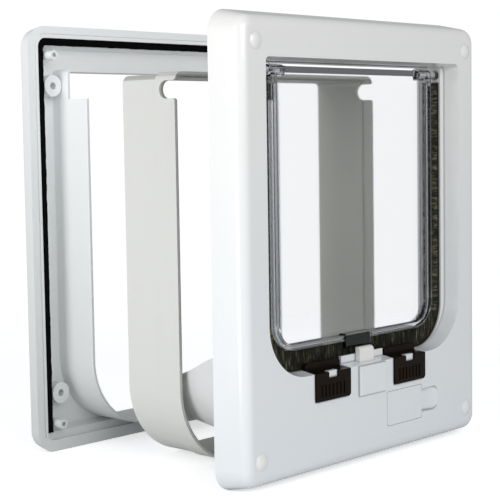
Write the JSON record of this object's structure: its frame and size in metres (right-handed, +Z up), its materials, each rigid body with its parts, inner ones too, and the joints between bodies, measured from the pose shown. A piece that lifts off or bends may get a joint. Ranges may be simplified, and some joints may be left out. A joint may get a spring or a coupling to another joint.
{
  "type": "cat flap",
  "caption": "Electromagnetic cat flap set out as its front unit, tunnel extension and rear frame, with a clear hinged flap, brush seal, sliding latches and a lifting catch.",
  "frame": {"origin": "on the table under the middle of the whole display, halfway between the front unit's face and the rear frame's outer face", "axes": "+X across the door to the right as seen from the room, +Y outwards through the door, +Z up"},
  "size_m": [0.211, 0.1708, 0.244],
  "materials": {
    "white_front": "smooth moulded",
    "white_caps": "smooth moulded",
    "white_housing": "smooth moulded",
    "white_catch": "smooth moulded",
    "warm_grey": "fine satin",
    "light_grey": "satin",
    "clear_plastic": "clear polished",
    "slate_steel": "satin",
    "brush_fibre": "cut pile",
    "dark_strip": "matt",
    "dark_brown": "semi-gloss",
    "spring_steel": "drawn",
    "zinc_steel": "zinc plated",
    "black_bobbin": "matt",
    "copper_wire": "enamelled wire",
    "board_green": "solder mask",
    "battery_can": "plain",
    "black_foam": "closed-cell foam"
  },
  "bodies": {
    "front_unit": {"front_frame": "white_front", "screw_caps": "white_caps", "rear_housing": "white_housing", "cover_screws": "zinc_steel", "hinge_clip_left": "clear_plastic", "hinge_clip_right": "clear_plastic", "brush_pile": "brush_fibre", "brush_backing": "dark_strip", "catch_spring": "spring_steel", "solenoid_bobbin": "black_bobbin", "solenoid_coil": "copper_wire", "solenoid_yoke": "zinc_steel", "circuit_board": "board_green", "battery": "battery_can", "battery_connector": "black_bobbin", "tunnel": "warm_grey"},
    "flap": {"flap": "clear_plastic", "strike_block": "slate_steel"},
    "latch_left": {"latch_left": "dark_brown"},
    "latch_right": {"latch_right": "dark_brown"},
    "catch": {"catch": "white_catch", "solenoid_plunger": "spring_steel"},
    "battery_cover": {"battery_cover": "white_front"},
    "rear_frame": {"rear_frame": "light_grey", "foam_seal": "black_foam"}
  },
  "joints": [
    {"name": "flap_hinge", "type": "hinge", "parent": "front_unit", "child": "flap", "pos_m": [0, -0.07135, 0.2138], "axis": [1, 0, 0], "range_deg": [-80, 80]},
    {"name": "latch_left_slide", "type": "slide", "parent": "front_unit", "child": "latch_left", "axis": [0, 0, 1], "range_m": [0, 0.007]},
    {"name": "latch_right_slide", "type": "slide", "parent": "front_unit", "child": "latch_right", "axis": [0, 0, 1], "range_m": [0, 0.007]},
    {"name": "catch_slide", "type": "slide", "parent": "front_unit", "child": "catch", "axis": [0, 0, 1], "range_m": [0, 0.0045], "deforming": ["catch_spring"]},
    {"name": "battery_cover_slide", "type": "slide", "parent": "front_unit", "child": "battery_cover", "axis": [0, -1, 0], "range_m": [0, 0.02]},
    {"name": "rear_frame_slide", "type": "slide", "parent": "front_unit", "child": "rear_frame", "axis": [0, -1, 0], "range_m": [0, 0.047]}
  ]
}
